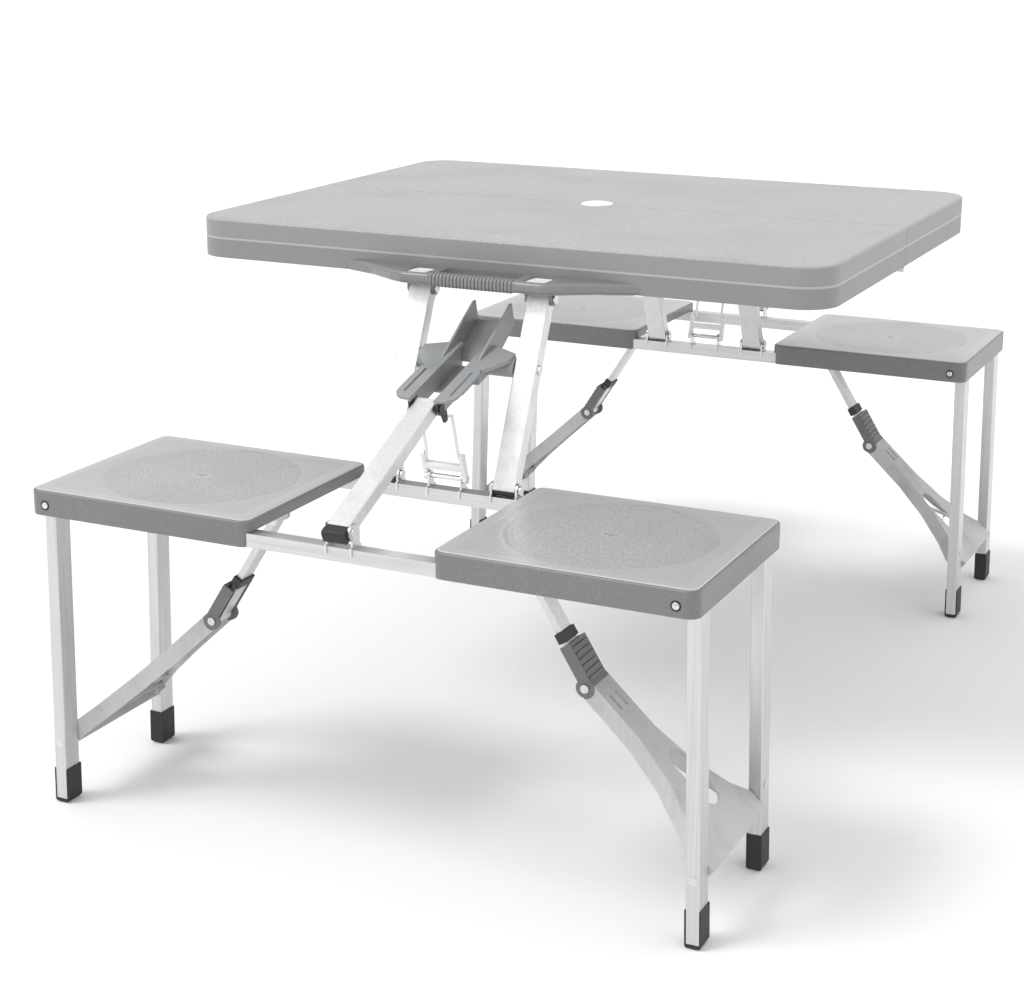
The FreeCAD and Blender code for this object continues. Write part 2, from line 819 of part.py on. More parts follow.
def casting():
    # drawn with the knee at the origin, the pivot along Y and the open side towards Z
    run = tubeKneeY - castPivotY
    rise = castPivotZ - tubeKneeZ
    pivot = math.hypot(run, rise)
    slope = math.degrees(math.atan2(rise, run))
    cosine = math.cos(math.radians(slope))
    sine = math.sin(math.radians(slope))
    endY = tubeKneeY - castTopY
    endZ = castTopZ - tubeKneeZ
    end = endY * cosine + endZ * sine
    endFloor = endZ * cosine - endY * sine
    inner = tubeWide / 2 + castClear
    outer = inner + castWall
    wide = castTopHalf + castWall
    # side walls along the tube, then wider walls that rise to the fins
    near = [
        (-9, 0),
        (-2, -castLowNear),
        (castFloorFrom - 5, -castLowNear),
        (castFloorFrom, -castLow),
        (pivot + 12, -castLow),
        (pivot + 12, castHigh),
        (-9, castHigh),
    ]
    far = [
        (pivot - 30, -castLow),
        (pivot, -castLow),
        (end, endFloor - 2.5),
        (end, endFloor + finRise),
        (end - 6, endFloor + finRise),
        (pivot - 20, castHigh + 3),
        (pivot - 30, castHigh + 3),
    ]
    body = None
    for side in (-1, 1):
        x0, x1 = sorted((side * inner, side * outer))
        wall = prism([vec(x0, s, n) for s, n in near], vec(x1 - x0, 0, 0))
        x0, x1 = sorted((side * castTopHalf, side * wide))
        fin = prism([vec(x0, s, n) for s, n in far], vec(x1 - x0, 0, 0))
        x0, x1 = sorted((side * inner, side * wide))
        step = box(x0, x1, pivot - 30, pivot - 27, -castLow, castHigh)
        pair = fused(wall, fin, step)
        body = pair if body is None else body.fuse(pair)
    floor = box(-outer, outer, castFloorFrom, pivot, -castLow, -castLow + 2.5)
    ramp = [
        (pivot - 1, -castLow),
        (end, endFloor - 2.5),
        (end, endFloor),
        (pivot - 1, -castLow + 2.5),
    ]
    ramp = prism([vec(-wide, s, n) for s, n in ramp], vec(2 * wide, 0, 0))
    body = body.fuse(floor).fuse(ramp)
    back = box(-wide, wide, pivot - 30, pivot, -castLow, -castLow + 2.5)
    body = body.fuse(back)
    # the broad slotted flanges at the knee's end
    for side in (-1, 1):
        x0, x1 = sorted((side * inner, side * castFlange))
        wing = box(x0, x1, -9, castFlangeLong, castHigh, castHigh + 3)
        corner = side * castFlange
        wing = rounded(wing, 18, lambda e: upright(e) and abs(e.BoundBox.XMin - corner) < 0.1)
        slot = slab(side * 30 - 1.5, side * 30 + 1.5, 6, 64, castHigh - 1, castHigh + 4, 1.4)
        body = body.fuse(wing.cut(slot))
    # round ears at the supports, tied to the walls
    earOut = supportX - supportWide / 2 - 1.0
    for side in (-1, 1):
        x0, x1 = sorted((side * inner, side * earOut))
        boss = rod(vec(x0, pivot, 0), vec(x1, pivot, 0), 12)
        # the web starts inside the boss, so the two never meet along a bare line
        low = castHigh - 2
        web = [
            (inner, pivot - 40),
            (castFlange, pivot - 40),
            (earOut - 3, pivot - 8),
            (earOut - 3, pivot + 8),
            (wide, pivot + 22),
            (inner, pivot + 22),
        ]
        web = prism([vec(side * x, s, low) for x, s in web], vec(0, 0, 5))
        body = body.fuse(boss).fuse(web)
    # the tube's space stays open between the walls
    body = body.cut(box(-inner, inner, pivot - 14, pivot + 14, -castLow + 2.5, 30))
    for side in (-1, 1):
        depth = side * (supportX - supportWide / 2 - 14.3)
        body = body.cut(rod(vec(depth, pivot, 0), vec(side * (earOut + 1), pivot, 0), pinRadius + pinClear))
    # dark hooks under the walls, beside the toggle's bail
    for side in (-1, 1):
        x0, x1 = sorted((side * inner, side * outer))
        low = -castLowNear
        hook = [vec(x0, s, n) for s, n in ((2, low), (14, low), (13, low - 14), (6, low - 14))]
        body = body.fuse(prism(hook, vec(x1 - x0, 0, 0)))
    # knee rivets stop at the walls' inner faces
    for side in (-1, 1):
        body = body.fuse(rod(vec(side * outer, 0, 0), vec(side * (outer + 1.5), 0, 0), 5))
    body = body.removeSplitter()
    body = turned(body, vec(0, 0, 0), xAxis, slope)
    body.translate(vec(0, -tubeKneeY, tubeKneeZ))
    return body


# ---- toggle

leverTopY = innerRailY + leverLean
leverTopZ = togglePivotZ + leverHigh - 8


def toggleLever():
    length = math.hypot(leverLean, leverTopZ - togglePivotZ)
    lean = math.degrees(math.atan2(leverLean, leverTopZ - togglePivotZ))
    thick = leverThick / 2
    body = None
    for side in (-1, 1):
        x0, x1 = sorted((side * (leverHalf - leverArm), side * leverHalf))
        arm = fused(
            box(x0, x1, -thick, thick, 0, length),
            rodX(x0, x1, 0, 0, 5.5),
            rodX(x0, x1, 0, length, 5),
        )
        body = arm if body is None else body.fuse(arm)
    bar = box(-leverHalf, leverHalf, -thick, thick, 11, 20)
    bar = rounded(bar, 2, lambda e: e.BoundBox.XLength > 10)
    body = body.fuse(bar)
    body = body.cut(rodX(-40, 40, 0, 0, legPinRadius + pinClear))
    body = body.cut(rodX(-40, 40, 0, length, bailWire + pinClear)).removeSplitter()
    body = turned(body, vec(0, 0, 0), xAxis, lean)
    body.translate(vec(0, -innerRailY, togglePivotZ))
    return body


def toggleBail():
    wire = None
    for side in (-1, 1):
        low = vec(side * bailHalf, -leverTopY, leverTopZ)
        high = vec(side * bailHalf, -bailTopY, bailTopZ)
        arm = rod(low, high, bailWire)
        stub = rod(low, vec(side * (leverHalf + 1), -leverTopY, leverTopZ), bailWire)
        ends = Part.makeSphere(bailWire, low).fuse(Part.makeSphere(bailWire, high))
        piece = arm.fuse(stub).fuse(ends)
        wire = piece if wire is None else wire.fuse(piece)
    bar = rodX(-bailHalf, bailHalf, -bailTopY, bailTopZ, bailWire)
    return wire.fuse(bar).removeSplitter()


# ---- writing the pieces

def save(name, shapes):
    if not isinstance(shapes, list):
        shapes = [shapes]
    solids = []
    for shape in shapes:
        solids = solids + list(shape.Solids)
    for solid in solids:
        if not solid.isValid() or solid.Volume < 1:
            raise ValueError(name + " has a faulty solid")
    group = solids[0] if len(solids) == 1 else Part.makeCompound(solids)
    group.exportStep("parts/" + name + ".step")
    print(name, len(solids), round(sum(s.Volume for s in solids) / 1000, 2))


def saveSides(name, shapes):
    if not isinstance(shapes, list):
        shapes = [shapes]
    save("front_" + name, shapes)
    save("rear_" + name, [mirrorY(shape) for shape in shapes])


def saveEnds(name, shapes):
    # the four seat positions: front and rear, left and right
    if not isinstance(shapes, list):
        shapes = [shapes]
    saveSides("right_" + name, shapes)
    saveSides("left_" + name, [mirrorX(shape) for shape in shapes])


os.makedirs("parts", exist_ok=True)
saveSides("top_shell", topShell())
saveSides("rim_frame", rimFrame())
saveSides("handle", handle())
save("front_seam_hinge", seamHinge(True))
save("rear_seam_hinge", seamHinge(False))
save("hole_cap", holeCap())
saveSides("support_tubes", supportTubes())
saveSides("support_caps", supportCaps())
saveSides("support_pins", supportPins())
saveSides("rails", rails())
saveEnds("seat", seat())
saveSides("brackets", brackets())
saveSides("brace_brackets", both(braceBracket()))
saveSides("frame_pins", framePins())
saveSides("seat_screws", seatScrews())
saveEnds("legs", legTubes())
saveEnds("foot_caps", footCaps())
saveEnds("leg_rivets", legRivets())
saveEnds("brace_bar", braceBar())
saveEnds("brace_plate", bracePlate())
saveSides("diagonal_tube", diagonalTube())
saveSides("tube_plugs", tubePlugs())
saveSides("casting", casting())
saveSides("toggle_lever", toggleLever())
saveSides("toggle_bail", toggleBail())
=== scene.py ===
import math

import bpy
import numpy as np
from mathutils import Matrix, Vector


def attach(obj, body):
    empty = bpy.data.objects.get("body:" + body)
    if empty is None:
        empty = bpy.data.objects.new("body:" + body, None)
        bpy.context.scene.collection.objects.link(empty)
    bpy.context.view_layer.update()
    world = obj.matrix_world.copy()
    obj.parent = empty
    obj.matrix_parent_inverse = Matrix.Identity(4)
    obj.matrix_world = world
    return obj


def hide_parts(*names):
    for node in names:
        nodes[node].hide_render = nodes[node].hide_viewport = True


# Folding picnic table with four seats. Metres, X along the table, Z up, the front at negative Y.

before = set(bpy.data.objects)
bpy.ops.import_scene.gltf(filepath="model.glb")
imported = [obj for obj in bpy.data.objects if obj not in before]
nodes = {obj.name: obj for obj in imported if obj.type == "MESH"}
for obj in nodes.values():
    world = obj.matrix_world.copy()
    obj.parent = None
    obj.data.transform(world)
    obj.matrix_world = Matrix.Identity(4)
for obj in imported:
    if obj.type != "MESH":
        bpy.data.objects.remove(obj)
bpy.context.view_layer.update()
print("frame loaded:", len(nodes), "nodes")

sides = {"front": -1, "rear": 1}
ends = {"right": 1, "left": -1}


# camera and studio

camera = {
    "place": (1.0553, -2.4862, 1.0721),
    "right": (0.90155, 0.43267, 0.00305),
    "down": (0.12407, -0.25175, -0.95981),
    "ahead": (-0.41451, 0.86569, -0.28065),
    "lens": 70.42,
    "sensor": 36,
    "clip": (0.05, 80),
    "shift": (0.0059, -0.0199),
}


def linked(name, data):
    # an object in the scene that holds the data
    holder = bpy.data.objects.new(name, data)
    bpy.context.scene.collection.objects.link(holder)
    return holder


def makeCamera():
    eye = bpy.data.cameras.new("tableCamera")
    eye.sensor_width = camera["sensor"]
    eye.lens = camera["lens"]
    eye.shift_x, eye.shift_y = camera["shift"]
    eye.clip_start, eye.clip_end = camera["clip"]
    holder = linked("tableCamera", eye)
    columns = [Vector(camera["right"]), -Vector(camera["down"]), -Vector(camera["ahead"])]
    turn = Matrix(columns).transposed().to_4x4()
    turn.translation = Vector(camera["place"])
    holder.matrix_world = turn
    bpy.context.scene.camera = holder


studio = {
    "floorReach": 9.0,
    "floorRings": (0.01, 2, 5),
    "floorAround": 96,
    "coveRadius": 3.0,
    "coveSteps": 24,
    "floorColour": (0.9, 0.9, 0.9, 1),
    "floorShade": (0.88, 0.88, 0.88, 1),
    "floorCloud": 1.5,
    "floorRough": 0.8,
    "floorLight": 0.2,
    "skyColour": (1, 1, 1, 1),
    "skyStrength": 1.0,
    "sunFrom": (-0.62, -0.50, 1.15),
    "sunSpread": 22,
    "sunStrength": 1.2,
    "lamps": (
        # name, place, aim, size, power
        ("frontLamp", (-1.6, -3.6, 1.7), (0.0, 0.1, 0.4), 2.0, 9),
    ),
}


def makeLamps():
    for name, place, aim, size, power in studio["lamps"]:
        lamp = bpy.data.lights.new(name, "AREA")
        lamp.shape = "DISK"
        lamp.size = size
        lamp.energy = power
        holder = linked(name, lamp)
        away = Vector(place) - Vector(aim)
        holder.location = place
        holder.rotation_mode = "QUATERNION"
        holder.rotation_quaternion = away.to_track_quat("Z", "Y")
    sun = bpy.data.lights.new("highSun", "SUN")
    sun.energy = studio["sunStrength"]
    sun.angle = math.radians(studio["sunSpread"])
    holder = linked("highSun", sun)
    holder.rotation_mode = "QUATERNION"
    holder.rotation_quaternion = Vector(studio["sunFrom"]).to_track_quat("Z", "Y")
    world = bpy.data.worlds.new("paleStudio")
    world.use_nodes = True
    sky = world.node_tree.nodes["Background"]
    sky.inputs["Color"].default_value = studio["skyColour"]
    sky.inputs["Strength"].default_value = studio["skyStrength"]
    bpy.context.scene.world = world


makeCamera()
makeLamps()
bpy.context.scene.view_settings.view_transform = "Standard"
print("camera and lamps are up")


# shader arithmetic

class Wire:
    # one socket of a finish; sums on it add Math nodes to that finish
    def __init__(self, finish, socket):
        self.finish = finish
        self.socket = socket

    def sum(self, operation, first, second):
        return self.finish.add("ShaderNodeMath", {"operation": operation}, {0: first, 1: second})

    def __add__(self, other):
        return self.sum("ADD", self, other)

    def __radd__(self, other):
        return self.sum("ADD", other, self)

    def __sub__(self, other):
        return self.sum("SUBTRACT", self, other)

    def __rsub__(self, other):
        return self.sum("SUBTRACT", other, self)

    def __mul__(self, other):
        return self.sum("MULTIPLY", self, other)

    def __rmul__(self, other):
        return self.sum("MULTIPLY", other, self)

    def __abs__(self):
        return self.finish.add("ShaderNodeMath", {"operation": "ABSOLUTE"}, {0: self})

    def larger(self, other):
        return self.sum("MAXIMUM", self, other)

    def over(self, low, high):
        # 0 below low, 1 above high and a soft step between them
        return self.finish.add(
            "ShaderNodeMapRange", {"interpolation_type": "SMOOTHSTEP"}, {0: self, 1: low, 2: high}
        )


class Finish:
    def __init__(self, name):
        self.material = bpy.data.materials.new(name)
        self.material.use_nodes = True
        self.tree = self.material.node_tree
        self.tree.nodes.clear()
        self.place = self.add("ShaderNodeTexCoord", out="Object")
        split = self.tree.nodes.new("ShaderNodeSeparateXYZ")
        self.tree.links.new(self.place.socket, split.inputs[0])
        self.x, self.y, self.z = [Wire(self, socket) for socket in split.outputs]

    def add(self, kind, settings=None, inputs=None, out=0):
        # settings come first, then each socket takes a plain value or a wire
        node = self.tree.nodes.new(kind)
        for key, value in (settings or {}).items():
            setattr(node, key, value)
        for key, value in (inputs or {}).items():
            if isinstance(value, Wire):
                self.tree.links.new(value.socket, node.inputs[key])
            else:
                node.inputs[key].default_value = value
        return Wire(self, node.outputs[out])

    def blend(self, mask, first, second):
        # a colour that goes from first to second as the mask goes from 0 to 1
        inputs = {0: mask, 6: first, 7: second}
        return self.add("ShaderNodeMix", {"data_type": "RGBA"}, inputs, out=2)

    def noise(self, scale, detail=2.0, rough=0.5, place=None):
        return self.add(
            "ShaderNodeTexNoise",
            None,
            {"Vector": place or self.place, "Scale": scale, "Detail": detail, "Roughness": rough},
        )

    def stretched(self, turn, stretch):
        # the place, turned about the axes and then stretched
        return self.add(
            "ShaderNodeMapping", None, {"Vector": self.place, "Rotation": turn, "Scale": stretch}
        )

    def bump(self, height, depth, strength=1.0):
        inputs = {"Height": height, "Distance": depth, "Strength": strength}
        return self.add("ShaderNodeBump", None, inputs, out="Normal")

    def done(self, colour, rough, normal=None, metal=0.0, coat=0.0, coatRough=0.1, light=0.5):
        inputs = {
            "Base Color": colour,
            "Roughness": rough,
            "Metallic": metal,
            "Coat Weight": coat,
            "Coat Roughness": coatRough,
            "Specular IOR Level": light,
        }
        if normal:
            inputs["Normal"] = normal
        shader = self.add("ShaderNodeBsdfPrincipled", None, inputs, out="BSDF")
        end = self.tree.nodes.new("ShaderNodeOutputMaterial")
        self.tree.links.new(shader.socket, end.inputs["Surface"])
        return self.material


def grey(level, tint=0.0):
    return (level * (1 - tint), level, level * (1 + tint), 1)


# finishes

topLook = {
    "colour": grey(0.33, 0.025),
    "speck": grey(0.44, 0.02),
    "shade": grey(0.30, 0.03),
    "rough": 0.44,
    "grainScale": 560,
    "grainDepth": 0.0003,
    "pitScale": 0.7,
    "bump": 0.7,
    "speckFrom": (0.45, 0.62),
    "speckShare": 0.9,
    "cloudScale": 7,
    "cloudFrom": (0.42, 0.75),
    "cloudShare": 0.5,
    "scuffScale": 42,
    "scuffTurn": 0.6,
    "scuffSquash": 0.12,
    "scuffFrom": (0.62, 0.72),
    "line": grey(0.5, 0.01),
    "lineFrom": (0.0004, 0.0011),
    "lineShare": 0.6,
    # painted shade: below this height the sides take the darker side colour
    "sideShadeStep": 0.002,
    "sideShadeBelow": 0.6745,
    "side": grey(0.265, 0.03),
}


def plasticFinish(name, look, lineHeight=None, field=False):
    # moulded plastic: fine leather-like grain, a little cloudiness and scuffed high spots
    finish = Finish(name)
    grain = finish.noise(look["grainScale"], 3, 0.6)
    pits = finish.add(
        "ShaderNodeTexVoronoi",
        {"feature": "F1"},
        {"Vector": finish.place, "Scale": look["grainScale"] * look["pitScale"]},
    )
    cloud = finish.noise(look["cloudScale"], 3, 0.55)
    speckle = grain.over(*look["speckFrom"]) * look["speckShare"]
    colour = finish.blend(speckle, look["colour"], look["speck"])
    shade = cloud.over(*look["cloudFrom"]) * look["cloudShare"]
    colour = finish.blend(shade, colour, look["shade"])
    squashed = finish.stretched((0, 0, look["scuffTurn"]), (1, look["scuffSquash"], 1))
    scuffs = finish.noise(look["scuffScale"], 5, 0.65, squashed).over(*look["scuffFrom"])
    rough = look["rough"] + 0.1 * cloud - 0.1 * scuffs
    height = grain * 0.6 + pits * 0.5
    if field:
        # the sat-on field is grained and the border band is nearly smooth
        grained = finish.add("ShaderNodeAttribute", {"attribute_name": "field"}, None, out="Fac")
        height = height * (0.2 + 0.8 * grained)
        colour = finish.blend(grained.over(0.0, 1.0), look["band"], colour)
        # painted shade: the recessed pit in the oval is coloured dark
        colour = finish.blend(grained.over(*look["pitShadeFrom"]), colour, look["pitShade"])
        colour = finish.blend(1 - grained.over(*look["litFrom"]), colour, look["lit"])
        rough = rough + 0.12 * grained.over(0, 1) - 0.06
    if look.get("sideShadeBelow"):
        # painted shade: the sides are coloured darker than the flat top
        top = look["sideShadeBelow"]
        sideShade = 1 - finish.z.over(top - look["sideShadeStep"], top)
        colour = finish.blend(sideShade, colour, look["side"])
    if lineHeight:
        line = 1 - abs(finish.z - lineHeight).over(*look["lineFrom"])
        colour = finish.blend(line * look["lineShare"], colour, look["line"])
    normal = finish.bump(height, look["grainDepth"], look["bump"])
    return finish.done(colour, rough, normal, coat=look.get("coat", 0.12), coatRough=0.25)


metalLook = {
    "colour": grey(0.66, 0.012),
    "dull": grey(0.54, 0.015),
    "rough": 0.34,
    "lineScale": 260,
    "lineDepth": 0.00004,
    "lineSquash": 0.012,
    "dullFrom": (0.35, 0.7),
    "dullShare": 0.6,
    "smudgeScale": 13,
    "smudgeFrom": (0.45, 0.7),
}
# painted light: a lighter copy of the tube aluminium for the leaning support tubes and the diagonal
# tube
supportLitLook = dict(metalLook, colour=grey(0.77, 0.01), dull=grey(0.66, 0.012), rough=0.38)


def metalFinish(name, look, along=2):
    # satin extrusion: die lines run along it, with a few faint smudges
    stretch = [1.0, 1.0, 1.0]
    stretch[along] = look["lineSquash"]
    finish = Finish(name)
    lines = finish.noise(look["lineScale"], 4, 0.6, finish.stretched((0, 0, 0), stretch))
    smudge = finish.noise(look["smudgeScale"], 3, 0.6)
    dull = lines.over(*look["dullFrom"]) * look["dullShare"]
    colour = finish.blend(dull, look["colour"], look["dull"])
    rough = look["rough"] + 0.14 * smudge.over(*look["smudgeFrom"]) + 0.08 * lines
    return finish, colour, rough, finish.bump(lines, look["lineDepth"], 0.8)


castLook = {
    "colour": grey(0.29, 0.03),
    "speck": grey(0.38, 0.025),
    "shade": grey(0.22, 0.035),
    "dark": grey(0.022, 0.02),
    "rough": 0.5,
    "grainScale": 750,
    "grainDepth": 0.00014,
    "cloudScale": 16,
    "speckFrom": (0.45, 0.68),
    "cloudFrom": (0.45, 0.8),
    "knee": (0.496, 0.506),
    "slope": 15.9,
    # distances from the knee, along the channel and square to it, where black turns grey
    "hookAlong": (0.0150, 0.0160),
    "hookAbove": (-0.0085, -0.0078),
    "earAlong": (0.0090, 0.0100),
    "earAbove": (0.0095, 0.0102),
}


def castFinish():
    look = castLook
    finish = Finish("castingPlastic")
    grain = finish.noise(look["grainScale"], 3, 0.6)
    cloud = finish.noise(look["cloudScale"], 4, 0.6)
    colour = finish.blend(grain.over(*look["speckFrom"]) * 0.6, look["colour"], look["speck"])
    colour = finish.blend(cloud.over(*look["cloudFrom"]) * 0.7, colour, look["shade"])
    # the hooks and ears under the lower end are black
    cosine = math.cos(math.radians(look["slope"]))
    sine = math.sin(math.radians(look["slope"]))
    inward = look["knee"][0] - abs(finish.y)
    upward = finish.z - look["knee"][1]
    along = inward * cosine + upward * sine
    above = upward * cosine - inward * sine
    hooks = (1 - along.over(*look["hookAlong"])) * (1 - above.over(*look["hookAbove"]))
    ears = (1 - along.over(*look["earAlong"])) * (1 - above.over(*look["earAbove"]))
    colour = finish.blend(hooks.larger(ears), colour, look["dark"])
    rough = look["rough"] - 0.1 * grain
    normal = finish.bump(grain, look["grainDepth"], 0.7)
    return finish.done(colour, rough, normal, coat=0.1, coatRough=0.3)


supportCap = {
    "foot": (0.446, 0.404),
    "top": (0.352, 0.616),
    "darkFrom": (-0.0040, -0.0030),
    "dark": grey(0.02),
}


def supportCapFinish():
    # only the last few millimetres at the foot are black; the rest is satin like the tube
    finish, colour, rough, normal = metalFinish("supportCap", supportLitLook)
    foot, top = supportCap["foot"], supportCap["top"]
    run, rise = top[0] - foot[0], top[1] - foot[1]
    length = math.hypot(run, rise)
    along = (abs(finish.y) - foot[0]) * (run / length) + (finish.z - foot[1]) * (rise / length)
    dark = 1 - along.over(*supportCap["darkFrom"])
    colour = finish.blend(dark, colour, supportCap["dark"])
    return finish.done(colour, rough + 0.1 * dark, normal, metal=1 - dark)


def gripFinish():
    # painted shade: the grooves between the ribs are coloured darker
    look = gripLook
    finish = Finish("gripPlastic")
    grain = finish.noise(look["grainScale"], 3, 0.6)
    turns = finish.x * (math.pi * look["ribs"] / look["half"])
    wave = finish.add("ShaderNodeMath", {"operation": "COSINE"}, {0: turns})
    groove = 1 - abs(wave * 0.5 + 0.5).over(0.0, 0.45)
    colour = finish.blend(grain.over(0.45, 0.68) * 0.6, look["speck"], look["colour"])
    colour = finish.blend(groove * 0.75, colour, look["groove"])
    rough = look["rough"] + 0.25 * groove
    return finish.done(colour, rough, finish.bump(grain, 0.0001, 0.6), coat=0.3, coatRough=0.2)


braceLook = {
    "knee": (0.245, 0.234),
    "top": (0.159, 0.372),
    "collarFrom": 0.0545,
    "collarTo": 0.0675,
    "gripFrom": 0.006,
    "gripStep": 0.0006,
    "roundEnd": (0.000140, 0.000150),
    "plate": grey(0.5, 0.02),
    "plateWorn": grey(0.60, 0.015),
    "plateShade": grey(0.30, 0.03),
    "grip": grey(0.15, 0.03),
    "collar": grey(0.035, 0.02),
}


def alongBrace(finish):
    # distance from the knee towards the seat, along the bar
    run = braceLook["top"][0] - braceLook["knee"][0]
    rise = braceLook["top"][1] - braceLook["knee"][1]
    length = math.hypot(run, rise)
    outward = abs(finish.x) - braceLook["knee"][0]
    upward = finish.z - braceLook["knee"][1]
    return outward * (run / length) + upward * (rise / length), outward, upward


def barFinish():
    finish, colour, rough, normal = metalFinish("braceBarMetal", metalLook)
    along = alongBrace(finish)[0]
    start, stop = braceLook["collarFrom"], braceLook["collarTo"]
    collar = along.over(start - 0.0003, start + 0.0003) * (1 - along.over(stop, stop + 0.0006))
    colour = finish.blend(collar, colour, braceLook["collar"])
    return finish.done(colour, rough + 0.15 * collar, normal, metal=1 - collar)


def plateFinish():
    # painted plate: brushed look along it, paler in brushed streaks, with a dark grip over the bar
    finish = Finish("bracePlatePaint")
    along, outward, upward = alongBrace(finish)
    grain = finish.noise(900, 3, 0.6)
    brush = finish.noise(420, 3, 0.55, finish.stretched((0, 0.55, 0), (1, 1, 0.035)))
    cloud = finish.noise(14, 4, 0.6)
    colour = finish.blend(brush.over(0.35, 0.75) * 0.45, braceLook["plate"], braceLook["plateWorn"])
    colour = finish.blend(cloud.over(0.45, 0.75) * 0.6, colour, braceLook["plateShade"])
    # the squared distance from the knee picks out the round end
    far = (outward * outward + upward * upward).over(*braceLook["roundEnd"])
    sleeve = along.over(braceLook["gripFrom"], braceLook["gripFrom"] + braceLook["gripStep"])
    dark = sleeve.larger(1 - far)
    colour = finish.blend(dark, colour, braceLook["grip"])
    rough = 0.42 + 0.1 * cloud + 0.06 * dark
    normal = finish.bump(brush * 0.3 + grain * 0.6, 0.00012, 0.6)
    return finish.done(colour, rough, normal, coat=0.2, coatRough=0.25)


seatLook = dict(
    topLook,
    colour=grey(0.31, 0.025),
    speck=grey(0.52, 0.02),
    shade=grey(0.31, 0.03),
    rough=0.46,
    grainScale=520,
    sideShadeBelow=None,
    band=grey(0.42, 0.02),
    # painted shade for the recessed pit
    pitShade=grey(0.09, 0.02),
    pitShadeFrom=(1.2, 1.9),
    lit=grey(0.52, 0.01),
    litFrom=(-0.9, -0.1),
    coat=0.3,
)
# painted shade: a darker copy of the seat plastic for the seats' skirts
skirtShadeLook = dict(
    topLook,
    colour=grey(0.155, 0.04),
    speck=grey(0.19, 0.035),
    shade=grey(0.135, 0.045),
    rough=0.36,
    sideShadeBelow=None,
    coat=0.3,
)
handleLook = dict(
    skirtShadeLook, colour=grey(0.185, 0.035), speck=grey(0.22, 0.03), rough=0.28, coat=0.5
)
# groove is the painted shade between the grip's ribs
gripLook = dict(handleLook, groove=grey(0.06, 0.03), ribs=24, half=0.0575)
blackLook = dict(
    topLook,
    colour=grey(0.013),
    speck=grey(0.019),
    shade=grey(0.010),
    rough=0.5,
    sideShadeBelow=None,
    coat=0.0,
)
whiteLook = dict(
    topLook,
    colour=grey(0.82),
    speck=grey(0.86),
    shade=grey(0.76),
    rough=0.34,
    grainDepth=0.00005,
    sideShadeBelow=None,
)
steelLook = dict(
    metalLook, colour=grey(0.72, 0.01), dull=grey(0.55, 0.01), rough=0.22, lineScale=500
)


def solidMetal(name, look, along=2):
    finish, colour, rough, normal = metalFinish(name, look, along)
    return finish.done(colour, rough, normal, metal=1.0)


finishes = {
    "top": plasticFinish("topPlastic", topLook, lineHeight=0.6515),
    # the rim's sides get a darker painted shade than the top's
    "rim": plasticFinish("rimPlastic", dict(topLook, side=grey(0.235, 0.035)), 0.6505),
    "grip": gripFinish(),
    "supportCap": supportCapFinish(),
    "handle": plasticFinish("handlePlastic", handleLook),
    # the seats' skirts take the darker, painted-shade copy of the seat plastic
    "seat": plasticFinish("seatPlasticShaded", skirtShadeLook),
    "panel": plasticFinish("seatPanelPlastic", seatLook, field=True),
    "black": plasticFinish("blackPlastic", blackLook),
    "white": plasticFinish("whitePlastic", whiteLook),
    "cast": castFinish(),
    "upright": solidMetal("aluminiumUpright", metalLook),
    "rail": solidMetal("aluminiumRail", metalLook, 0),
    "leaning": solidMetal("aluminiumSupportLit", supportLitLook),
    "steel": solidMetal("steel", steelLook, 0),
    "bar": barFinish(),
    "plate": plateFinish(),
}

finishOf = {
    "top_shell": "top",
    "rim_frame": "rim",
    "handle": "handle",
    "seam_hinge": "steel",
    "support_tubes": "leaning",
    "support_caps": "supportCap",
    "support_pins": "steel",
    "rails": "rail",
    "right_seat": "seat",
    "left_seat": "seat",
    "brackets": "steel",
    "brace_brackets": "steel",
    "frame_pins": "steel",
    "seat_screws": "steel",
    "diagonal_tube": "leaning",
    "tube_plugs": "black",
    "casting": "cast",
    "toggle_lever": "white",
    "toggle_bail": "white",
    "legs": "upright",
    "foot_caps": "black",
    "leg_rivets": "steel",
    "brace_bar": "bar",
    "brace_plate": "plate",
    "hole_cap": "white",
}


def paintNodes():
    # the longest ending that fits a node's name says which finish it gets
    longestFirst = sorted(finishOf, key=len, reverse=True)
    for name, node in nodes.items():
        key = next(k for k in longestFirst if name.endswith(k))
        node.data.materials.clear()
        node.data.materials.append(finishes[finishOf[key]])


paintNodes()
print("finishes made:", len(finishes))


# surfaces worked out as arrays

def signedVolume(points, quads):
    # a sixth of the summed triple products of each face's corners
    a, b, c, d = (points[quads[:, k]] for k in range(4))
    first = np.einsum("ij,ij->i", a, np.cross(b, c))
    second = np.einsum("ij,ij->i", a, np.cross(c, d))
    return (first + second).sum() / 6


def gridQuads(count, around):
    # each station's points join the next station's, all the way round
    station, step = np.meshgrid(np.arange(count - 1), np.arange(around), indexing="ij")
    after = (step + 1) % around
    here, there = station * around, (station + 1) * around
    corners = [here + step, here + after, there + after, there + step]
    return np.stack(corners, axis=-1).reshape(-1, 4)


def turned(reach, height, angle, middle=(0.0, 0.0)):
    # rings about an upright line: each station has a reach from the line and a height,
    # and is stepped round the line by angle
    reach = reach + 0 * angle
    return np.stack(
        [middle[0] + reach * np.cos(angle), middle[1] + reach * np.sin(angle), height + 0 * reach],
        axis=-1,
    )


def roundTurn(count):
    return np.linspace(0, 2 * math.pi, count, endpoint=False)


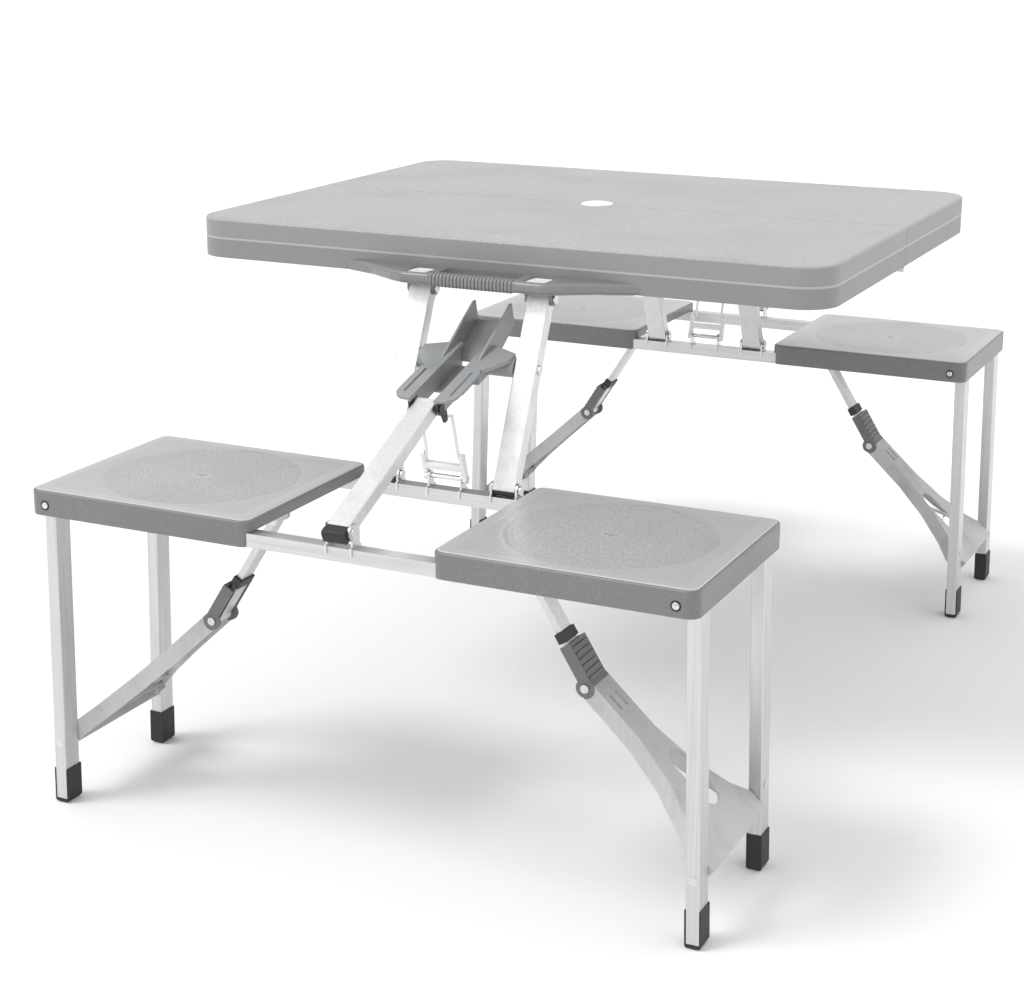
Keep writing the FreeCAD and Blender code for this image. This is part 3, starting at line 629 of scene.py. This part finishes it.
def ringShell(name, rings, finish, sharp):
    # rings is stations by points by 3: each ring joins the next, and both ends close on
    # their mean point; edges sharper than the angle given stay crisp
    count, around = rings.shape[:2]
    quads = gridQuads(count, around)
    tips = np.array([rings[0].mean(0), rings[-1].mean(0)])
    points = np.concatenate([rings.reshape(-1, 3), tips])
    step = np.arange(around)
    after = (step + 1) % around
    base = (count - 1) * around
    first = np.stack([after, step, np.full(around, count * around)], axis=-1)
    last = np.stack([base + step, base + after, np.full(around, count * around + 1)], axis=-1)
    fans = np.concatenate([first, last])
    closing = np.concatenate([fans, fans[:, 2:]], axis=1)
    if signedVolume(points, np.concatenate([quads, closing])) < 0:
        quads, fans = quads[:, ::-1], fans[:, ::-1]
    mesh = bpy.data.meshes.new(name)
    mesh.from_pydata(points.tolist(), [], quads.tolist() + fans.tolist())
    mesh.shade_smooth()
    mesh.set_sharp_from_angle(angle=math.radians(sharp))
    mesh.materials.append(finishes[finish])
    return linked(name, mesh)


def joined(pieces):
    # several shells become one piece
    bpy.ops.object.select_all(action="DESELECT")
    for piece in pieces:
        piece.select_set(True)
    bpy.context.view_layer.objects.active = pieces[0]
    bpy.ops.object.join()
    return pieces[0]


# floor

def makeFloor():
    # surface of revolution: a flat disc that turns up through a quarter circle into a low wall
    reach, cove, rings = studio["floorReach"], studio["coveRadius"], studio["floorRings"]
    turn = np.linspace(0, math.pi / 2, studio["coveSteps"])
    radius = np.concatenate([rings, reach + cove * np.sin(turn)])
    height = np.concatenate([np.zeros(len(rings)), cove * (1 - np.cos(turn))])
    around = studio["floorAround"]
    points = turned(radius[:, None], height[:, None], roundTurn(around))
    finish = Finish("paleFloor")
    cloud = finish.noise(studio["floorCloud"], 2, 0.5)
    tone = finish.blend(cloud, studio["floorColour"], studio["floorShade"])
    rough = studio["floorRough"] + 0.1 * cloud
    finishes["floor"] = finish.done(tone, rough, light=studio["floorLight"])
    # the faces look up and inwards, and the middle closes with one face
    quads = np.roll(gridQuads(len(radius), around)[:, ::-1], 1, axis=1)
    mesh = bpy.data.meshes.new("paleFloor")
    mesh.from_pydata(points.reshape(-1, 3).tolist(), [], quads.tolist() + [list(range(around))])
    mesh.shade_smooth()
    mesh.materials.append(finishes["floor"])
    linked("paleFloor", mesh)


makeFloor()
print("floor laid")


# seat panels

seatPanel = {
    "middle": (0.2645, 0.5695),
    "half": (0.1505, 0.1365),
    "corner": 0.014,
    "top": 0.409,
    "around": 480,
    "circle": 0.118,
    "band": 0.018,
    "bandCorner": 0.006,
    "edge": 0.0034,
    "underReach": 0.12,
    "underDrop": -0.2,
    "sharp": 60,
    "body": "{side}_seat_frame",
    # the small oval: its stretch, and each ring's reach in metres and height in millimetres
    "stretch": 0.35,
    "oval": (
        (0.0006, 0.25),
        (0.0018, 0.25),
        (0.0024, 0.05),
        (0.0030, -0.55),
        (0.0042, -0.6),
        (0.0052, -0.15),
        (0.0060, 0.22),
        (0.0070, 0.34),
        (0.0090, 0.38),
    ),
    # between these reaches the oval's pit is painted dark: painted shade in the recess
    "pitShade": (0.002, 0.0055),
    "plain": (0.014, 0.004, 12),
    "plainHeight": 0.38,
    # past the circle's line: reach from it and height
    "groove": ((-0.0016, 0.38), (-0.0008, 0.26), (0.0004, 0.24), (0.0014, 0.42)),
    "shares": (0.15, 0.4, 0.7, 0.92),
    "shareHeight": 0.42,
    # the band's step: inset from the band, height and field
    "step": ((0.0006, 0.44, 0.45), (0.0, 0.56, 0.2), (-0.0007, 0.70, 0.0), (-0.002, 0.74, 0.0)),
    # the rolled edge: inset from the edge and height
    "roll": ((0.0016, 0.74), (0.0006, 0.64), (0.0, 0.36), (-0.0004, 0.0), (0.0, -0.2)),
    "inner": (0.010, 0.74),
    # what the field attribute holds in the pit, on the oval, in the circle, outside it, on
    # the lit edge and at the two closing points
    "fields": {"pitShade": 2.0, "oval": 0.4, "circle": 1.0, "between": 0.45, "lit": -1.0},
    "tipFields": (0.4, 0.0),
}


def roundedReach(angle, half, corner):
    # distance from the middle to a rounded rectangle's outline along each angle, by halving
    across = np.abs(np.stack([np.cos(angle), np.sin(angle)]))
    low = np.zeros_like(angle)
    high = np.full_like(angle, half[0] + half[1])
    core = np.array([[half[0] - corner], [half[1] - corner]])
    for _ in range(40):
        middle = (low + high) / 2
        beyond = np.maximum(across * middle - core, 0)
        outside = np.hypot(beyond[0], beyond[1]) > corner
        high = np.where(outside, middle, high)
        low = np.where(outside, low, middle)
    return low


def insetReach(angle, half, inset, corner):
    return roundedReach(angle, (half[0] - inset, half[1] - inset), corner)


def makeSeatPanels():
    # rings go from a small oval at the middle, through a large circle, to the seat's rounded
    # outline, and each ring has its own height, so the surface is a relief over the seat
    p = seatPanel
    fields = p["fields"]
    angle = roundTurn(p["around"])
    circle, band, edge = p["circle"], p["band"], p["edge"]
    rows = []
    for radius, height in p["oval"]:
        oval = radius * (1 + p["stretch"] * np.cos(angle) ** 2)
        inPitShade = p["pitShade"][0] < radius < p["pitShade"][1]
        rows.append((oval, height, fields["pitShade"] if inPitShade else fields["oval"]))
    start, short, count = p["plain"]
    inner = [(radius, p["plainHeight"]) for radius in np.linspace(start, circle - short, count)]
    inner += [(circle + beyond, height) for beyond, height in p["groove"]]
    for radius, height in inner:
        field = fields["circle"] if radius < circle else fields["between"]
        rows.append((np.full_like(angle, radius), height, field))
    # from the circle out to the band, the ring's shape changes gradually
    last = circle + p["groove"][-1][0]
    step = insetReach(angle, p["half"], band, p["bandCorner"]) - 0.0012
    for share in p["shares"]:
        rows.append((last + share * (step - last), p["shareHeight"], fields["between"]))
    for inset, height, field in p["step"]:
        reach = insetReach(angle, p["half"], band + inset, p["bandCorner"] - inset)
        rows.append((reach, height, field))
    outer = [p["inner"]] + [(edge + inset, height) for inset, height in p["roll"]]
    for inset, height in outer:
        reach = insetReach(angle, p["half"], inset, p["corner"] - inset)
        rows.append((reach, height, fields["lit"] if inset < edge + 0.001 else 0.0))
    rows.append((np.full_like(angle, p["underReach"]), p["underDrop"], 0.0))
    reach = np.stack([row[0] for row in rows])
    height = np.array([row[1] for row in rows])[:, None] / 1000 + p["top"]
    field = np.array([row[2] for row in rows])
    values = np.concatenate([np.repeat(field, p["around"]), p["tipFields"]])
    for side, facing in sides.items():
        for end, way in ends.items():
            middle = (way * p["middle"][0], facing * p["middle"][1])
            name = side + end.capitalize() + "SeatPanel"
            panel = ringShell(name, turned(reach, height, angle, middle), "panel", p["sharp"])
            layer = panel.data.attributes.new("field", "FLOAT", "POINT")
            layer.data.foreach_set("value", values.astype(np.float32))
            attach(panel, p["body"].format(side=side))


makeSeatPanels()
print("seat panels made")


# seat screws, each a domed head with a cross recess on a flat dished black ring; the black ring is
# painted shade standing in for the shaded recess round the screw

screw = {
    "acrossX": 0.392,
    "height": 0.3916,
    "faces": (0.706, 0.433),
    "radius": 0.0040,
    "rings": (1, 4, 8, 12, 16, 20, 24, 28, 32, 36, 39, 40),
    "ringStep": 0.0001,
    "proud": 0.0015,
    "drop": 0.55,
    "recess": 0.0010,
    "arm": 0.00065,
    "reach": 0.0022,
    "soft": 0.0002,
    "turn": 0.5,
    "under": 0.0003,
    "recessShadeRadius": (0.0001, 0.0044, 0.0050, 0.0057, 0.0059, 0.0059),
    "recessShadeHeight": (0.00008, 0.00008, 0.00035, 0.00035, 0.00015, -0.0002),
    "around": 72,
    "sharp": 40,
}


def crossArm(across, along):
    # 1 inside one arm of the cross and 0 outside it, with soft edges
    narrow = 1 / (1 + np.exp((np.abs(across) - screw["arm"]) / screw["soft"] * 2))
    return narrow / (1 + np.exp((np.abs(along) - screw["reach"]) / screw["soft"]))


def screwRings(centre, way):
    # a domed head whose height drops inside a cross: height is a function of radius and angle
    angle = roundTurn(screw["around"]) + screw["turn"]
    radius = np.array(screw["rings"])[:, None] * screw["ringStep"]
    u = radius * np.cos(angle)
    v = radius * np.sin(angle)
    dome = screw["proud"] * (1 - screw["drop"] * (radius / screw["radius"]) ** 3)
    height = dome - screw["recess"] * np.maximum(crossArm(u, v), crossArm(v, u))
    rings = np.stack([centre[0] + u, centre[1] + way * height, centre[2] + v], axis=-1)
    foot = rings[-1:].copy()
    foot[..., 1] = centre[1] - way * screw["under"]
    return np.concatenate([rings, foot])


def recessShadeRings(centre, way):
    # painted shade for the recess round the screw: radius and height follow a short closed lip,
    # turned about the screw's own line
    radius = np.array(screw["recessShadeRadius"])[:, None]
    depth = centre[1] + way * np.array(screw["recessShadeHeight"])[:, None]
    rings = turned(radius, depth, roundTurn(screw["around"]), (centre[0], centre[2]))
    return rings[..., [0, 2, 1]]


def makeScrews():
    kinds = (("SeatScrews", screwRings, "steel"), ("ScrewRecessShade", recessShadeRings, "black"))
    for side, facing in sides.items():
        made = []
        for ending, rings, finish in kinds:
            shells = []
            for way in ends.values():
                for face, outward in zip(screw["faces"], (1, -1)):
                    centre = (way * screw["acrossX"], facing * face, screw["height"])
                    shape = rings(centre, facing * outward)
                    shells.append(ringShell(side + ending, shape, finish, screw["sharp"]))
            made.append(joined(shells))
        head, recessShade = made
        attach(head, side + "_seat_frame")
        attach(recessShade, side + "_seat_frame")
        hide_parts(side + "_seat_screws")


makeScrews()
print("screws made")


# ribbed sleeve on the handle's grip

grip = {
    "half": gripLook["half"],
    "ribs": gripLook["ribs"],
    "ribHeight": 0.0011,
    "ribFloor": 0.35,
    "ribPower": 0.7,
    "fade": 14,
    "middle": (0.3765, 0.632),
    "halfSize": (0.0085, 0.0070),
    "square": 3.2,
    "perRib": 8,
    "around": 64,
    "sharp": 70,
}


def makeGrips():
    # a rounded-square section carried along X; its size swells and shrinks once for each rib
    count = grip["ribs"] * grip["perRib"]
    along = np.linspace(-1, 1, count + 1)
    angle = roundTurn(grip["around"])
    wave = np.abs(np.cos(along * math.pi * grip["ribs"] / 2)) ** grip["ribPower"]
    fade = np.clip((1 - np.abs(along)) * grip["fade"], 0, 1)
    swell = (grip["ribHeight"] * (grip["ribFloor"] + wave) * fade)[:, None]
    power = 2 / grip["square"]
    c, s = np.cos(angle), np.sin(angle)
    across = np.sign(c) * np.abs(c) ** power
    upward = np.sign(s) * np.abs(s) ** power
    for side, facing in sides.items():
        rings = np.stack(
            [
                along[:, None] * grip["half"] + 0 * angle,
                facing * (grip["middle"][0] + (grip["halfSize"][0] + swell) * across),
                grip["middle"][1] + (grip["halfSize"][1] + swell) * upward,
            ],
            axis=-1,
        )
        sleeve = ringShell(side + "GripRibs", rings, "grip", grip["sharp"])
        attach(sleeve, "table_" + side)


makeGrips()
print("grips made")


# white fills in the handle's windows, just under its top face: painted light standing in for the
# bright view through the open windows

windowLightFill = {
    "acrossX": 0.079,
    "middleY": 0.359,
    "half": (0.0142, 0.0172),
    "corner": 0.0028,
    "cornerLeast": 0.0004,
    "low": 0.6315,
    "high": 0.6374,
    # inset and rise of each level, from the low face and then from the high one
    "fromLow": ((0.010, 0.0), (0.0010, 0.0), (0.0003, 0.0004), (0.0, 0.0010)),
    "fromHigh": (
        (0.0, -0.0010),
        (0.0003, -0.0003),
        (0.0010, 0.0),
        (0.0026, 0.0),
        (0.0034, -0.0005),
        (0.010, -0.0006),
    ),
    "around": 96,
    "sharp": 40,
}


def makeWindowLightFills():
    # stacked rounded rectangles: each level has its own inset, so the pad has rolled edges
    # and a shallow dish
    p = windowLightFill
    angle = roundTurn(p["around"])
    levels = [(inset, p["low"] + rise) for inset, rise in p["fromLow"]]
    levels += [(inset, p["high"] + rise) for inset, rise in p["fromHigh"]]
    for side, facing in sides.items():
        pads = []
        for way in ends.values():
            middle = (way * p["acrossX"], facing * p["middleY"])
            rows = []
            for inset, height in levels:
                corner = max(p["corner"] - inset, p["cornerLeast"])
                reach = insetReach(angle, p["half"], inset, corner)
                rows.append(turned(reach, height, angle, middle))
            pads.append(ringShell(side + "WindowLightFills", np.stack(rows), "white", p["sharp"]))
        pad = joined(pads)
        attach(pad, "table_" + side)


makeWindowLightFills()
print("window pads made")


# cap over the pole hole

cap = {
    "radius": 0.022,
    "low": 0.67505,
    "high": 0.680,
    "middle": 0.0002,
    "sag": (0.0024, 2.4),
    "rim": 0.0012,
    "edge": 0.0013,
    "bend": (0.2, math.pi / 2 + 0.9),
    "steps": (14, 8),
    "plug": 0.0171,
    "plugWall": 0.003,
    "plugLow": 0.663,
    "neck": 0.0006,
    "bevel": 0.0008,
    "innerBevel": 0.0004,
    "around": 128,
    "sharp": 40,
}


def makeCap():
    # profile of the cap turned about the vertical axis: low dome, rolled edge, hollow plug
    radius, low, plug, plugLow = cap["radius"], cap["low"], cap["plug"], cap["plugLow"]
    depth, power = cap["sag"]
    turn = np.linspace(0, 1, cap["steps"][0])
    dome = [cap["middle"] + (radius - cap["rim"]) * turn, cap["high"] - depth * turn ** power]
    bend = np.linspace(*cap["bend"], cap["steps"][1])
    edge = [
        radius - cap["edge"] + cap["edge"] * np.sin(bend),
        low + cap["rim"] + cap["edge"] * np.cos(bend),
    ]
    inner = plug - cap["plugWall"]
    rest = [
        (plug + cap["neck"], low),
        (plug, low - cap["neck"]),
        (plug, plugLow + cap["bevel"]),
        (plug - cap["bevel"], plugLow),
        (inner + cap["innerBevel"], plugLow),
        (inner, plugLow + cap["innerBevel"]),
        (inner, low),
        (cap["middle"], low),
    ]
    profile = np.concatenate([np.stack(dome, axis=-1), np.stack(edge, axis=-1), rest])
    rings = turned(profile[:, :1], profile[:, 1:], roundTurn(cap["around"]))
    piece = ringShell("holeCapDome", rings, "white", cap["sharp"])
    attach(piece, "hole_cap")
    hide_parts("hole_cap")


makeCap()
print("cap made")
